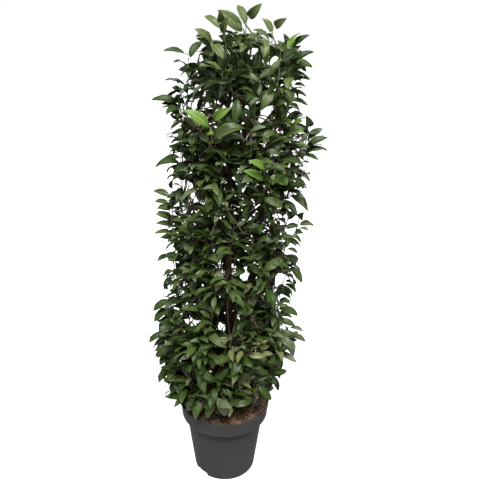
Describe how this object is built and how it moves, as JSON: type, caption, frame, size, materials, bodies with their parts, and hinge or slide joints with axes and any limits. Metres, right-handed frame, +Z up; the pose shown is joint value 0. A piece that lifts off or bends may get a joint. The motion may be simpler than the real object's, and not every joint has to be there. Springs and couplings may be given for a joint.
{
  "type": "pillar-clipped laurel in a nursery pot",
  "caption": "Evergreen laurel clipped to a leafy column, from the soil to a bent leading shoot, in a tapering round nursery pot filled with peaty soil.",
  "frame": {"origin": "centre of the pot's flat underside, on the ground", "axes": "+Z up along the pot's axis and the trunk, -Y towards the viewer (front), +X to the viewer's right"},
  "size_m": [0.472, 0.4158, 1.3807],
  "materials": {
    "pot_plastic": "satin",
    "soil": "matte",
    "bark": "matte",
    "foliage": "satin"
  },
  "bodies": {
    "root": {"bough_1_1": "bark", "bough_1_2": "bark", "bough_1_3": "bark", "bough_1_4": "bark", "bough_1_5": "bark", "bough_1_6": "bark", "bough_2_1": "bark", "bough_2_2": "bark", "bough_2_3": "bark", "bough_2_4": "bark", "bough_2_5": "bark", "bough_2_6": "bark", "bough_3_1": "bark", "bough_3_2": "bark", "bough_3_3": "bark", "bough_3_4": "bark", "bough_3_5": "bark", "bough_3_6": "bark", "bough_4_1": "bark", "bough_4_2": "bark", "bough_4_3": "bark", "bough_4_4": "bark", "bough_4_5": "bark", "bough_4_6": "bark", "foliage_1_1": "foliage", "foliage_1_2": "foliage", "foliage_1_3": "foliage", "foliage_1_4": "foliage", "foliage_1_5": "foliage", "foliage_1_6": "foliage", "foliage_2_1": "foliage", "foliage_2_2": "foliage", "foliage_2_3": "foliage", "foliage_2_4": "foliage", "foliage_2_5": "foliage", "foliage_2_6": "foliage", "foliage_3_1": "foliage", "foliage_3_2": "foliage", "foliage_3_3": "foliage", "foliage_3_4": "foliage", "foliage_3_5": "foliage", "foliage_3_6": "foliage", "foliage_4_1": "foliage", "foliage_4_2": "foliage", "foliage_4_3": "foliage", "foliage_4_4": "foliage", "foliage_4_5": "foliage", "foliage_4_6": "foliage", "foliage_top": "foliage", "pot": "pot_plastic", "soil": "soil", "trunk": "bark"}
  },
  "joints": []
}
